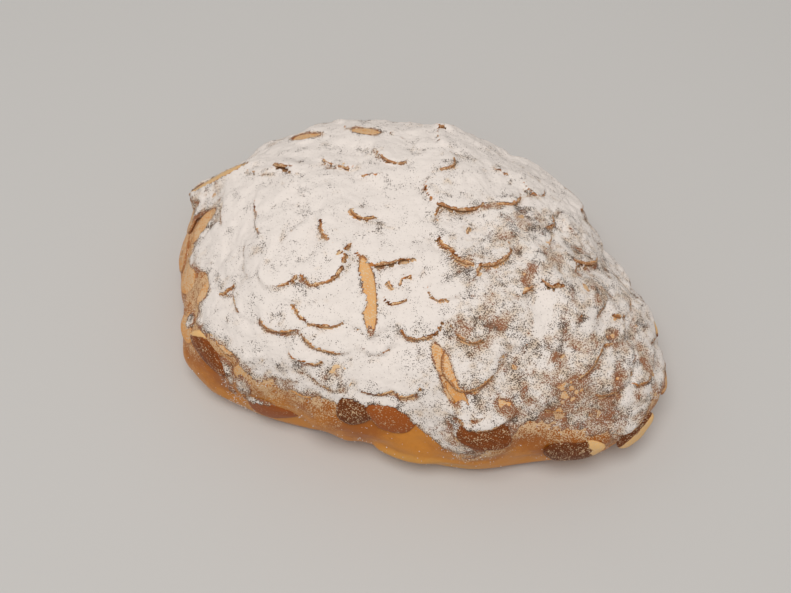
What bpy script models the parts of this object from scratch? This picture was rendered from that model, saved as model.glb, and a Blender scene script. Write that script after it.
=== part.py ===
"""Mini stollen: a folded oval of sweet dough under a scaly coat of flaked almonds.

Run with: blender --background --python part.py
One solid, in metres, +Z up. It rests on Z = 0 with +X along the loaf towards its narrow end.
"""

import math

import bmesh
import bpy
import numpy as np
from mathutils import Matrix, Vector

MM = 0.001

# Driving dimensions of the loaf, in millimetres.
HEIGHT = 46.0  # crown above the table, before lumps and almonds
WAIST_HEIGHT = 12.0  # where the side stands straight up
FOOT_INSET = 7.0  # how far the foot is drawn in under the waist
CROWN_SQUARENESS = 2.35  # 2 is a plain ellipse, more is fuller shouldered
NARROW_END_DROP = 5.0  # the crown is lower over the narrow end
NARROW_END_SPAN = (10, 70)  # it comes down between these distances along +X
BROAD_END_DROP = 2.0
BROAD_END_SPAN = (30, 70)  # and between these along -X
# Waist radius from the origin, every 20 degrees, anticlockwise from +X.
WAIST_RADII = (
    69.5, 58, 53, 50.5, 50.5, 50, 52, 58, 64.5,
    69, 67, 66, 57, 48, 45, 51.7, 58, 68.5,
)
FOOT_LATITUDE = math.radians(-28)  # the part of the sphere below this makes the flat base
LOAF_DETAIL = 5  # subdivisions of the starting icosphere
NO_HEIGHT = 1e-6  # metres: points no higher than this lie in the base
FLAT_ANGLE = math.radians(1)

# Lumps of the dough: (wavelength, height, seed) of each layer of waves, in millimetres.
DOUGH_WAVES = ((46.0, 1.0, 11), (19.0, 0.55, 12), (9.0, 0.22, 13))
WAVE_COUNT = 12  # sine waves in each layer
LUMP_RISE = 0.8  # how far lumps push up, against how far they push sideways
LUMPS_FULL = 10.0  # the height from which lumps have their full size, so that the base stays flat

# The fold: a soft valley over the crown, and the lower layer's lip, which starts at a crease.
FOLD_LINE = ((12, 44), (11, 10), (30, -4), (36, -18), (27, -34), (4, -52))
FOLD_DEPTH = 2.0
FOLD_WIDTH = 7.0
FOLD_FULL = 25.0  # the height from which the valley has its full depth
LIP_BULGE = 1.0
LIP_HEIGHT = 9.0
LIP_ROUNDING = 3.0  # the lip runs out over this height above LIP_HEIGHT
LIP_START = -85.0  # bearing of the crease, in degrees
LIP_FULL = -68.0  # the lip is full sized up to this bearing
LIP_END = -40.0
CREASE_WIDTH = 3.4  # degrees of bearing over which the lip stands up out of the crease
LIP_UNDERSIDE = (0.2, 0.9)  # shares of the foot's radius between which the lip begins

# Flaked almonds.
FLAKE_THICKNESS = 1.2
FLAKE_SIDES = 10
FLAKE_SUNK = 0.35  # share of the thickness that is baked into what lies beneath
COAT_DETAIL = 6  # subdivisions of the skin that the flakes are laid on
STACK_REACH = 9.0  # the depth in which a flake feels what lies beneath it
SUPPORT_WIDTH = 9.0  # a narrow flake rests on at least this width of what lies beneath it
STEEPEST_REST = 0.4  # slope of a resting flake against the dough under its middle
FOOTPRINT = 1.1  # what a flake rests on reaches this far past its outline
COVERING = 1.05  # and this is how far it covers what is beneath it
FLAKE_TAPER = 0.16  # how much narrower a flake is towards its pointed end
FLAKE_FULLNESS = 1.12  # widens the outline again, so that a flake has its stated width
SCATTER_SEED = 24
SCATTER_COUNT = 54
SCATTER_SPACING = 9.9
SCATTER_LENGTHS = (11.0, 16.0)
SCATTER_ASPECTS = (0.62, 0.82)
SCATTER_LEANS = (-9.0, 9.0)
BARE_SLOPE = 0.45  # where the normal points up by less than this the dough is bare
BARE_FRONT = (-44.0, 0.36)  # and so it is in front of this line, given as its y at x = 0 and its slope

# Flakes with a set place on top: (x, y, turn in degrees, length, width, lean in degrees).
# x and y are in the plan view. A positive lean lifts the edge on the left of the flake's length.
# They are laid in this order, each on those before it, so that most of them show their lower edge.
TOP_FLAKES = (
    (-50, -29.5, 70, 10.0, 7.0, 5),
    (-61, -9, 80, 12.0, 8.0, 6),
    (-44.3, -24, 40, 12.5, 10.5, -6),
    (-8, -42, -8, 11.0, 8.5, -6),
    (9, -37, 40, 10.5, 9.0, -5),
    (2, -39, 0, 11.0, 9.5, -3),
    (13, -31, -60, 12.0, 8.0, 3),
    (30, -37, 30, 16.0, 10.0, -5),
    (23, -29, 40, 16.5, 13.5, -6),
    (9, -22, 35, 15.5, 13.5, -7),
    (-16.5, -39.5, -10, 9.5, 8.0, -8),
    (-12, -35, -6, 14.5, 9.5, -8),
    (-25, -34, 4, 12.5, 8.5, -9),
    (-16.5, -30.5, -8, 14.5, 9.0, -9),
    (-0.5, -20.6, 15, 6.5, 5.5, -9),
    (0, -12.6, 60, 7.5, 5.5, -6),
    (-3, -16, -65, 7.0, 4.2, 6),
    (-7.0, -9.0, 42, 15.5, 13.0, -7),
    (-19, -18.5, 55, 12.5, 10.0, -7),
    (-20, -9, -70, 15.0, 11.0, -6),
    (-16, -2, 10, 6.5, 4.5, -8),
    (17.5, -1, 20, 16.0, 14.0, -4),
    (7, 3, 72, 12.5, 6.5, 6),
    (15.5, 19, 65, 12.5, 9.5, -8),
    (4.5, 15, 15, 17.5, 14.0, -8),
    (64, -8, 75, 15.0, 8.5, -14),
    (58, -16, 72, 16.0, 8.0, -18),
    (48, -17, 62, 15.0, 9.0, -14),
    (50, 19, -45, 13.0, 9.0, 14),
    (42, 26, -38, 12.0, 9.0, 8),
    (31, 33, -30, 13.0, 9.0, 8),
    (20, 40, -10, 14.0, 10.0, 10),
    (40, 12, 50, 13.0, 9.0, -12),
    (-54, 20, 35, 10.0, 7.0, 8),
    (-43, 25, 12, 12.5, 8.5, 5),
    (-26, 30, 4, 15.0, 9.5, 3),
    (-40, 12, 0, 12.5, 10.0, -13),
)

# Flakes with a set place on the side. The third value is z.
SIDE_FLAKES = (
    (-54, -37, 20, -60, 11.0, 8.0, -4),
    (65, -22, 20, 55, 13.0, 8.0, -20),
    (70, -6, 19, 85, 13.0, 8.0, -28),
)

# End slices of almonds, with their brown skin outwards, on the side too.
SKIN_FLAKES = (
    (-26, -48, 11, -8, 15.5, 9.5, -3),
    (-2, -46, 24, -24, 10.5, 8.5, -2),
    (7, -45, 24, -38, 14.0, 8.5, -3),
    (31, -41, 25, -12, 15.0, 11.0, -4),
    (54, -33, 15, 30, 16.0, 9.5, -6),
    (66, -20, 14, 55, 13.0, 9.0, -35),
    (-45, -44, 24, -48, 15.5, 8.0, -3),
    (-27, 45, 15, 26, 14.0, 8.5, 3),
    (0, 50, 13, -2, 13.0, 8.0, 4),
    (37, 37, 15, -38, 15.0, 9.0, 3),
    (63, 13, 14, -66, 13.0, 8.0, 4),
    (-66, 16, 15, 70, 14.0, 8.5, 3),
)

# Slivers: narrow slices that lie bare. The last value is the lean again.
SLIVERS = (
    (-7.6, -23.0, -62, 21.5, 4.6, 8),
    (23.5, -36.5, -46, 11.0, 3.6, 8),
    (-62.2, 5.2, 8, 24.0, 3.6, -4),
)

CRUST_COLOUR = (0.62, 0.34, 0.13, 1.0)
CRUST_ROUGHNESS = 0.55


def waves(points, wavelength, seed):
    """Smooth lumps of about unit height at each point, as a sum of sine waves in seeded directions."""
    draw = np.random.default_rng(seed)
    directions = draw.normal(size=(WAVE_COUNT, 3))
    directions /= np.linalg.norm(directions, axis=1)[:, None]
    phases = draw.uniform(0, 2 * np.pi, WAVE_COUNT)
    turns = points @ directions.T * (2 * np.pi / wavelength) + phases
    return np.sin(turns).sum(-1) / math.sqrt(WAVE_COUNT / 2)


def ramp(start, end, values):
    """0 up to start, 1 from end, and smooth between."""
    share = np.clip((values - start) / (end - start), 0, 1)
    return share * share * (3 - 2 * share)


def waist_radius(bearing):
    """The plan radius of the loaf's widest line, smooth through WAIST_RADII."""
    count = len(WAIST_RADII)
    terms = np.fft.rfft(WAIST_RADII) / count
    radius = np.full_like(bearing, terms[0].real)
    for order, term in enumerate(terms[1:], 1):
        weight = 1 if order == count / 2 else 2
        turn = order * bearing
        radius = radius + weight * (term.real * np.cos(turn) - term.imag * np.sin(turn))
    return radius


def crown_height(x):
    narrow_end = NARROW_END_DROP * ramp(*NARROW_END_SPAN, x)
    broad_end = BROAD_END_DROP * ramp(*BROAD_END_SPAN, -x)
    return HEIGHT - narrow_end - broad_end


def fold_distance(x, y):
    """Plan distance from each point to FOLD_LINE."""
    nearest = np.full_like(x, np.inf)
    for (ax, ay), (bx, by) in zip(FOLD_LINE, FOLD_LINE[1:]):
        dx, dy = bx - ax, by - ay
        share = np.clip(((x - ax) * dx + (y - ay) * dy) / (dx * dx + dy * dy), 0, 1)
        nearest = np.minimum(nearest, np.hypot(x - ax - share * dx, y - ay - share * dy))
    return nearest


def lip_bulge(bearing, height, foot_share):
    """How far the lower layer's lip stands out of the side."""
    degrees = np.degrees(bearing)
    past_crease = ramp(LIP_START - CREASE_WIDTH / 2, LIP_START + CREASE_WIDTH / 2, degrees)
    before_end = ramp(-LIP_END, -LIP_FULL, -degrees)
    below_top = 1 - ramp(LIP_HEIGHT, LIP_HEIGHT + LIP_ROUNDING, height)
    return LIP_BULGE * past_crease * before_end * below_top * ramp(*LIP_UNDERSIDE, foot_share)


def smooth_loaf(directions):
    """The loaf without lumps or fold, in millimetres, in each of these unit directions."""
    bearing = np.arctan2(directions[:, 1], directions[:, 0])
    sine = np.clip(directions[:, 2], -1, 1)
    latitude = np.arcsin(sine)
    waist = waist_radius(bearing)
    foot = waist - FOOT_INSET

    # Above the waist a full-shouldered dome, below it a quarter round down to the flat base.
    power = 2 / CROWN_SQUARENESS
    down = np.clip(latitude / FOOT_LATITUDE, 0, 1)
    dome = waist * np.cos(latitude) ** power
    side = waist - FOOT_INSET * (1 - np.sqrt(1 - down**2))
    base = foot * (latitude + np.pi / 2) / (FOOT_LATITUDE + np.pi / 2)
    radius = np.where(latitude > FOOT_LATITUDE, side, base)
    radius = np.where(latitude >= 0, dome, radius)

    low_height = WAIST_HEIGHT * (1 - down)
    lip = lip_bulge(bearing, low_height, radius / waist)
    radius = radius + np.where(latitude < 0, lip, 0)
    x, y = radius * np.cos(bearing), radius * np.sin(bearing)
    dome_height = WAIST_HEIGHT + (crown_height(x) - WAIST_HEIGHT) * np.abs(sine) ** power
    return np.stack([x, y, np.where(latitude >= 0, dome_height, low_height)], axis=1)


def loaf_surface(directions):
    """The loaf's surface, in millimetres, in each of these unit directions."""
    points = smooth_loaf(directions)
    x, y, z = points.T
    lumps = sum(height * waves(points, wavelength, seed) for wavelength, height, seed in DOUGH_WAVES)
    valley = FOLD_DEPTH * np.exp(-((fold_distance(x, y) / FOLD_WIDTH) ** 2))
    pushed = directions * [1, 1, LUMP_RISE] * (lumps * ramp(0, LUMPS_FULL, z))[:, None]
    pressed = [0, 0, 1] * (valley * ramp(WAIST_HEIGHT, FOLD_FULL, z))[:, None]
    return points + pushed - pressed


def sphere_directions(detail):
    """A bmesh icosphere of unit radius, with its vertices as an array."""
    mesh = bmesh.new()
    bmesh.ops.create_icosphere(mesh, subdivisions=detail, radius=1)
    directions = np.array([v.co.normalized() for v in mesh.verts])
    return mesh, directions


def mesh_object(name, mesh, collection):
    """The bmesh as an object in that collection."""
    bmesh.ops.recalc_face_normals(mesh, faces=mesh.faces)
    data = bpy.data.meshes.new(name)
    mesh.to_mesh(data)
    mesh.free()
    made = bpy.data.objects.new(name, data)
    collection.objects.link(made)
    return made


class Coat:
    """The loaf's skin while almonds are laid on it: where it is, and how high they have built up."""

    def __init__(self):
        mesh, directions = sphere_directions(COAT_DETAIL)
        points = loaf_surface(directions)
        for vertex, point in zip(mesh.verts, points):
            vertex.co = point
        mesh.normal_update()
        self.points = points
        self.normals = np.array([v.normal for v in mesh.verts])
        self.built_up = np.zeros(len(points))
        mesh.free()

    def on_top(self, x, y):
        """Index of the point of the upper skin nearest to this place in the plan view."""
        distance = np.hypot(self.points[:, 0] - x, self.points[:, 1] - y)
        return int(np.argmin(distance + 1000 * (self.points[:, 2] < WAIST_HEIGHT)))

    def on_side(self, x, y, z):
        """Index of the point of the skin nearest to this place."""
        return int(np.argmin(np.linalg.norm(self.points - (x, y, z), axis=1)))

    def lay(self, index, turn, length, width, lean):
        """The matrix of a flake that rests on what is already here, about this point of the skin."""
        centre, normal = self.points[index], Vector(self.normals[index])
        heading = Vector((math.cos(math.radians(turn)), math.sin(math.radians(turn)), 0))
        along = (heading - normal * heading.dot(normal)).normalized()
        across = normal.cross(along)
        axes = np.array([along, across, normal])
        local = (self.points - centre) @ axes.T
        near = np.abs(local[:, 2]) < STACK_REACH
        broad = max(width, SUPPORT_WIDTH)
        under = near & (np.hypot(local[:, 0] / length * 2, local[:, 1] / broad * 2) < FOOTPRINT)
        heights = local[under, 2] + self.built_up[under]

        # The plane that lies best on those points, then the flake's own lean about its length.
        terms = np.column_stack([np.ones(under.sum()), local[under, :2]])
        level, *slopes = np.linalg.lstsq(terms, heights, rcond=None)[0]
        slope_along, slope_across = np.clip(slopes, -STEEPEST_REST, STEEPEST_REST)
        middle = level + (0.5 - FLAKE_SUNK) * FLAKE_THICKNESS
        turned = Matrix((along, across, normal)).transposed().to_4x4()
        pitch = Matrix.Rotation(-math.atan(slope_along), 4, "Y")
        roll = Matrix.Rotation(math.atan(slope_across) + math.radians(lean), 4, "X")
        place = Matrix.Translation(Vector(centre) + normal * middle) @ turned @ pitch @ roll

        # The skin under the flake is now as high as the flake's top face.
        covered = near & (np.hypot(local[:, 0] / length * 2, local[:, 1] / width * 2) < COVERING)
        top = place @ Vector((0, 0, FLAKE_THICKNESS / 2))
        facing = (place.to_3x3() @ Vector((0, 0, 1))).normalized()
        reach = (np.array(top) - self.points[covered]) @ np.array(facing)
        self.built_up[covered] = np.maximum(self.built_up[covered], np.clip(reach, 0, STACK_REACH))
        return place


def flake_outline(length, width, sides):
    """A slice of almond seen flat: an oval drawn to a blunt point at its +X end."""
    angles = np.arange(sides) * 2 * np.pi / sides
    taper = FLAKE_FULLNESS * (1 - FLAKE_TAPER * (1 + np.cos(angles)))
    return np.column_stack([np.cos(angles) * length / 2, np.sin(angles) * width / 2 * taper])


def flake_object(name, place, length, width, collection):
    """A flake as a flat prism, placed by its matrix."""
    mesh = bmesh.new()
    outline = flake_outline(length, width, FLAKE_SIDES)
    rim = [mesh.verts.new((x, y, -FLAKE_THICKNESS / 2)) for x, y in outline]
    face = mesh.faces.new(rim)
    raised = bmesh.ops.extrude_face_region(mesh, geom=[face])["geom"]
    top = [v for v in raised if isinstance(v, bmesh.types.BMVert)]
    bmesh.ops.translate(mesh, verts=top, vec=(0, 0, FLAKE_THICKNESS))
    mesh.transform(Matrix.Scale(MM, 4) @ place)
    return mesh_object(name, mesh, collection)


def scatter(coat, taken):
    """Places, front ones first, for the flakes with no set place: skin points that face up, spaced apart."""
    draw = np.random.default_rng(SCATTER_SEED)
    chosen = []
    centres = [coat.points[i] for i in taken]
    for index in draw.permutation(len(coat.points)):
        point = coat.points[index]
        behind_front = point[1] > BARE_FRONT[0] + BARE_FRONT[1] * point[0]
        coated = behind_front and coat.normals[index, 2] > BARE_SLOPE
        if coated and np.linalg.norm(np.array(centres) - point, axis=1).min() > SCATTER_SPACING:
            chosen.append(int(index))
            centres.append(point)
        if len(chosen) == SCATTER_COUNT:
            break
    shapes = []
    for index in chosen:
        length = draw.uniform(*SCATTER_LENGTHS)
        width = length * draw.uniform(*SCATTER_ASPECTS)
        shapes.append((index, draw.uniform(0, 360), length, width, draw.uniform(*SCATTER_LEANS)))
    return sorted(shapes, key=lambda shape: coat.points[shape[0], 1])


def make_flakes(collection):
    """Every flake as an object in this collection, those with no set place first and lowest."""
    coat = Coat()
    placed = [(coat.on_side(x, y, z), *shape) for x, y, z, *shape in SIDE_FLAKES + SKIN_FLAKES]
    placed += [(coat.on_top(x, y), *shape) for x, y, *shape in SLIVERS + TOP_FLAKES]
    taken = [index for index, *_ in placed]
    for number, (index, turn, length, width, lean) in enumerate(scatter(coat, taken) + placed):
        place = coat.lay(index, turn, length, width, lean)
        flake_object(f"flake_{number:03d}", place, length, width, collection)


def make_loaf(collection):
    """The bare dough as one closed object."""
    mesh, directions = sphere_directions(LOAF_DETAIL)
    for vertex, point in zip(mesh.verts, loaf_surface(directions)):
        vertex.co = point * MM
    return mesh_object("stollen", mesh, collection)


def fuse(body, pieces):
    """Joins the collection's objects to the body, and removes them."""
    union = body.modifiers.new("almonds", "BOOLEAN")
    union.operation = "UNION"
    union.operand_type = "COLLECTION"
    union.collection = pieces
    union.solver = "EXACT"
    graph = bpy.context.evaluated_depsgraph_get()
    body.data = bpy.data.meshes.new_from_object(body.evaluated_get(graph))
    body.modifiers.clear()
    for piece in list(pieces.objects):
        bpy.data.objects.remove(piece)
    bpy.data.collections.remove(pieces)


def keep_outer_shell(body):
    """Fills the hollows that flakes have sealed and drops loose scraps: only the largest shell is kept."""
    mesh = bmesh.new()
    mesh.from_mesh(body.data)
    unseen = set(mesh.faces)
    shells = []
    while unseen:
        shell, edge_of_search = set(), [unseen.pop()]
        while edge_of_search:
            face = edge_of_search.pop()
            shell.add(face)
            for neighbour in {f for edge in face.edges for f in edge.link_faces} & unseen:
                unseen.discard(neighbour)
                edge_of_search.append(neighbour)
        shells.append(shell)
    largest = max(shells, key=len)
    bmesh.ops.delete(mesh, geom=[f for f in mesh.faces if f not in largest], context="FACES")
    flat_base = [e for e in mesh.edges if all(v.co.z < NO_HEIGHT for v in e.verts)]
    bmesh.ops.dissolve_limit(mesh, angle_limit=FLAT_ANGLE, verts=[], edges=flat_base)
    bmesh.ops.triangulate(mesh, faces=mesh.faces, quad_method="FIXED", ngon_method="EAR_CLIP")
    mesh.to_mesh(body.data)
    mesh.free()


def crust_material():
    material = bpy.data.materials.new("baked_crust")
    material.use_nodes = True
    shader = material.node_tree.nodes["Principled BSDF"]
    shader.inputs["Base Color"].default_value = CRUST_COLOUR
    shader.inputs["Roughness"].default_value = CRUST_ROUGHNESS
    shader.inputs["Metallic"].default_value = 0.0
    return material


def main():
    for leftover in list(bpy.data.objects):
        bpy.data.objects.remove(leftover)
    collection = bpy.data.collections.new("mini_stollen")
    almonds = bpy.data.collections.new("almonds")
    bpy.context.scene.collection.children.link(collection)
    bpy.context.scene.collection.children.link(almonds)
    stollen = make_loaf(collection)
    make_flakes(almonds)
    fuse(stollen, almonds)
    keep_outer_shell(stollen)
    stollen.data.materials.clear()
    stollen.data.materials.append(crust_material())


main()
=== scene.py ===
"""Looks of the mini stollen: its baked crust, its flaked almonds and the icing sugar sifted over them.

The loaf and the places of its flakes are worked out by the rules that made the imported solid.
Shapes are worked out in millimetres and made in metres.
"""

import itertools
import math

import bmesh
import bpy
import numpy as np
from mathutils import Matrix, Vector
from mathutils.bvhtree import BVHTree


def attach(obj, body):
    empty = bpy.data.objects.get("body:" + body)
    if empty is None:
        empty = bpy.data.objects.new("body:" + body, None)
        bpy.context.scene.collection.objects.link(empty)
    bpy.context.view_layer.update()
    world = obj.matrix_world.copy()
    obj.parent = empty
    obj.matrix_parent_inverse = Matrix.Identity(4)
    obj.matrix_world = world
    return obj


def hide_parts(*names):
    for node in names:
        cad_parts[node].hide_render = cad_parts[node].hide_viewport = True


MM = 0.001

# ---- The loaf and its flakes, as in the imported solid, in millimetres ----

HEIGHT = 46.0
WAIST_HEIGHT = 12.0
FOOT_INSET = 7.0  # from the waist in to the flat base
CROWN_SQUARENESS = 2.35  # 2 is an ellipse
NARROW_END_DROP = 5.0
NARROW_END_SPAN = (10, 70)
BROAD_END_DROP = 2.0
BROAD_END_SPAN = (30, 70)
# Waist radius from the origin, every 20 degrees, anticlockwise from +X.
WAIST_RADII = (
    69.5, 58, 53, 50.5, 50.5, 50, 52, 58, 64.5,
    69, 67, 66, 57, 48, 45, 51.7, 58, 68.5,
)
FOOT_LATITUDE = math.radians(-28)  # where the flat base starts
DOUGH_WAVES = ((46.0, 1.0, 11), (19.0, 0.55, 12), (9.0, 0.22, 13))  # (wavelength, height, seed)
WAVE_COUNT = 12
LUMP_RISE = 0.8  # how far lumps push upwards for each mm sideways
LUMPS_FULL = 10.0  # height from which they have their full size
# A shallow valley over the crown, in plan.
FOLD_LINE = ((12, 44), (11, 10), (30, -4), (36, -18), (27, -34), (4, -52))
FOLD_DEPTH = 2.0
FOLD_WIDTH = 7.0
FOLD_FULL = 25.0
# The lower layer's lip, between bearings in degrees.
LIP_BULGE = 1.0
LIP_HEIGHT = 9.0
LIP_ROUNDING = 3.0
LIP_START = -85.0
LIP_FULL = -68.0
LIP_END = -40.0
CREASE_WIDTH = 3.4
LIP_UNDERSIDE = (0.2, 0.9)  # shares of the waist radius over which it sets in below

SOLID_FLAKE_THICKNESS = 1.2
FLAKE_SUNK = 0.35  # share of its thickness that is sunk in what it rests on
COAT_DETAIL = 6  # subdivisions of the sphere that flakes are laid on
STACK_REACH = 9.0  # a flake rests on nothing further below or above it
SUPPORT_WIDTH = 9.0  # a narrow flake rests on a strip as wide as this
STEEPEST_REST = 0.4
FOOTPRINT = 1.1  # a flake rests on the skin within this share of its outline
COVERING = 1.05  # and builds it up within this share
FAR_BELOW = 1000.0  # puts the underside out of reach
FLAKE_TAPER = 0.16
FLAKE_FULLNESS = 1.12
SCATTER_SEED = 24
SCATTER_COUNT = 54
SCATTER_SPACING = 9.9
SCATTER_LENGTHS = (11.0, 16.0)
SCATTER_ASPECTS = (0.62, 0.82)
SCATTER_LEANS = (-9.0, 9.0)
BARE_SLOPE = 0.45  # none are scattered where the skin faces up less
BARE_FRONT = (-44.0, 0.36)  # nor in front of the line y = first + second * x

# Flakes on top: (x, y, turn in degrees, length, width, lean in degrees).
TOP_FLAKES = (
    (-50, -29.5, 70, 10, 7, 5), (-61, -9, 80, 12, 8, 6),
    (-44.3, -24, 40, 12.5, 10.5, -6), (-8, -42, -8, 11, 8.5, -6),
    (9, -37, 40, 10.5, 9, -5), (2, -39, 0, 11, 9.5, -3),
    (13, -31, -60, 12, 8, 3), (30, -37, 30, 16, 10, -5),
    (23, -29, 40, 16.5, 13.5, -6), (9, -22, 35, 15.5, 13.5, -7),
    (-16.5, -39.5, -10, 9.5, 8, -8), (-12, -35, -6, 14.5, 9.5, -8),
    (-25, -34, 4, 12.5, 8.5, -9), (-16.5, -30.5, -8, 14.5, 9, -9),
    (-0.5, -20.6, 15, 6.5, 5.5, -9), (0, -12.6, 60, 7.5, 5.5, -6),
    (-3, -16, -65, 7, 4.2, 6), (-7, -9, 42, 15.5, 13, -7),
    (-19, -18.5, 55, 12.5, 10, -7), (-20, -9, -70, 15, 11, -6),
    (-16, -2, 10, 6.5, 4.5, -8), (17.5, -1, 20, 16, 14, -4),
    (7, 3, 72, 12.5, 6.5, 6), (15.5, 19, 65, 12.5, 9.5, -8),
    (4.5, 15, 15, 17.5, 14, -8), (64, -8, 75, 15, 8.5, -14),
    (58, -16, 72, 16, 8, -18), (48, -17, 62, 15, 9, -14),
    (50, 19, -45, 13, 9, 14), (42, 26, -38, 12, 9, 8),
    (31, 33, -30, 13, 9, 8), (20, 40, -10, 14, 10, 10),
    (40, 12, 50, 13, 9, -12), (-54, 20, 35, 10, 7, 8),
    (-43, 25, 12, 12.5, 8.5, 5), (-26, 30, 4, 15, 9.5, 3),
    (-40, 12, 0, 12.5, 10, -13),
)
# Flakes on the side. The third value is z.
SIDE_FLAKES = (
    (-54, -37, 20, -60, 11, 8, -4),
    (65, -22, 20, 55, 13, 8, -20),
    (70, -6, 19, 85, 13, 8, -28),
)
# End slices of almonds on the side, with their brown skin outwards.
SKIN_FLAKES = (
    (-26, -48, 11, -8, 15.5, 9.5, -3), (-2, -46, 24, -24, 10.5, 8.5, -2),
    (7, -45, 24, -38, 14, 8.5, -3), (31, -41, 25, -12, 15, 11, -4),
    (54, -33, 15, 30, 16, 9.5, -6), (66, -20, 14, 55, 13, 9, -35),
    (-45, -44, 24, -48, 15.5, 8, -3), (-27, 45, 15, 26, 14, 8.5, 3),
    (0, 50, 13, -2, 13, 8, 4), (37, 37, 15, -38, 15, 9, 3),
    (63, 13, 14, -66, 13, 8, 4), (-66, 16, 15, 70, 14, 8.5, 3),
)
# Slivers: narrow slices that lie bare of sugar.
SLIVERS = (
    (-7.6, -23, -62, 21.5, 4.6, 8),
    (23.5, -36.5, -46, 11, 3.6, 8),
    (-62.2, 5.2, 8, 24, 3.6, -4),
)

# ---- The fine surface, in millimetres ----

DOUGH_DETAIL = 7  # subdivisions of the crust's icosphere
SIDE_BAND = (math.radians(-28), math.radians(22))  # latitudes where the crust shows and is finer
CRUST_RELIEF = ((3.4, 0.13, 41), (1.4, 0.06, 42))  # (size, height, seed), as in all layers below
RELIEF_FULL = 3.0  # height from which the relief has its full size

FINE_THICKNESS = 0.95
FINE_SIDES = 32
# Rings of a flake from its middle on top to its middle below:
# (share of the outline, level, nearness to the rim).
FLAKE_RINGS = (
    (0.4, 1.0, 0.0), (0.7, 1.0, 0.0), (0.88, 0.97, 0.45), (0.96, 0.75, 1.0),
    (1.0, 0.0, 1.0), (0.96, -0.75, 1.0), (0.8, -1.0, 0.5),
)
FLAKE_HARMONICS = ((2, 0.03), (3, 0.04), (5, 0.02), (8, 0.012))  # (waves, share) of its outline's unevenness
BROKEN_SHARE = 0.4  # share of the flakes that have a straight broken edge
BROKEN_REACH = (0.6, 0.85)  # how far from a flake's middle it is broken off
FLAKE_BENDS = (-0.75, 0.35)  # how far a flake's ends are bent up
FLAKE_CUPS = (-0.35, 0.35)  # how far its long edges are bent up
FLAKE_TWISTS = (-0.45, 0.45)
SKIN_DOME = 0.9  # an end slice is thickest in the middle
SHAPE_SEED = 70
GRAIN_STRETCH = (0.3, 1, 1)  # draws a slice's texture out lengthwise
GRAIN_APART = 40  # how far apart the slices lie in their texture
# How each end slice looks: (side where its pale flesh shows, in degrees from its length,
# share of its reach where the flesh starts, darkness of the skin, how densely it is dusted).
SKIN_LOOKS = (
    (125, 0.7, 0.25, 0.2), (35, 0.75, 0.95, 0.5), (90, 1.2, 0.05, 0.35), (100, 0.62, 0.75, 0.4),
    (10, 0.4, 1.0, 0.45), (-70, 0.0, 0.9, 0.5), (150, 0.6, 0.7, 0.4), (60, 0.6, 0.4, 0.3),
    (200, 0.7, 0.6, 0.4), (90, 1.2, 0.2, 0.3), (300, 0.5, 0.7, 0.4), (120, 0.7, 0.5, 0.4),
)
LEDGE_SIDE = 0.5  # flesh that faces up more than this holds sugar
LEDGE_COVER = 0.95  # how much, from 0 to 1
FLESH_SOFTNESS = 0.22
# How each sliver looks: (how toasted it is, how far its two ends stand off the crust's relief).
SLIVER_LOOKS = ((0.5, (0, 0)), (0.75, (0, 0)), (0.05, (2.4, 0.5)))
SLIVER_DUST = 0.6  # share of the dust that a sliver holds
SLIVER_BURIED = (0.7, 1.2)  # one end goes under the sugar between these shares of its half length
BARE_TOAST = 0.7  # flakes that stick out of the sugar are browner by this much
RIM_CLEAN = 0.4  # share of the dust that falls off a flake's rim
# For each kind of flake: the share of the sugar that it holds, and how bare its lower edge is.
HOLDS = {"flake": 1.0, "scattered": 1.0, "skin": 0.02, "sliver": 0.02}
BARE_EDGES = {"flake": 1.15, "scattered": 0.35, "skin": 0.3, "sliver": 0.0}

# How brown the crust is, from 0 to 1, and what is added over spans of height or of x.
BAKE_SIDE = 0.38
BAKE_SHOULDER = 0.38
SHOULDER_HEIGHTS = (6, 20)
BAKE_FOOT = 0.35
FOOT_HEIGHTS = (0, 4)
BAKE_NARROW_END = 0.3
BAKED_END_SPAN = (25, 45)
BAKED_END_HEIGHTS = (5, 12)
LIP_PALENESS = 0.3
LIP_FADE_BEARING = 1  # degrees to either side of the crease
LIP_FADE_HEIGHT = 4
BAKE_UNEVEN = ((14.0, 0.3, 61), (5.0, 0.15, 62))
NOISE_TABLE = 64  # values along each side of the noise's table

# The sugar's blanket: a grid over the dome, wider than the plan because it follows the slopes.
BLANKET_HALF_LENGTH = 92.0
BLANKET_HALF_WIDTH = 72.0
BLANKET_STEP = 0.47
BLANKET_MARGIN = 3  # spare rows and columns
GRID_JITTER = 0.32  # how far each point is moved at random, in cells
JITTER_SEED = 70
RAY_START = 10.0  # how far above the dough the flakes are felt from
NORMAL_SMOOTHING = 8  # rounds, as are the next three
FACING_SMOOTHING = 3
HOLLOW_SMOOTHING = 4
LYING_SMOOTHING = 1

# Sugar that has slid against the flakes.
TALUS_ROUNDS = 10
TALUS_SLOPE = 1.1  # how steeply it lies against a flake's edge on level ground
TALUS_HILL = 2.6  # how much steeper below a flake, and flatter above it
TALUS_LIMITS = (0.3, 3.2)
SHORTEST_RUN = BLANKET_STEP / 4
FRONT_LEAN = 0.45  # it lies as if the whole loaf also fell away towards the front by this slope
# How much of the step below a flake it leaves, at a covered edge and at a bare one.
STEP_LEFT = (0.4, 0.85)
STEP_SLOPE = 0.5

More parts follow.
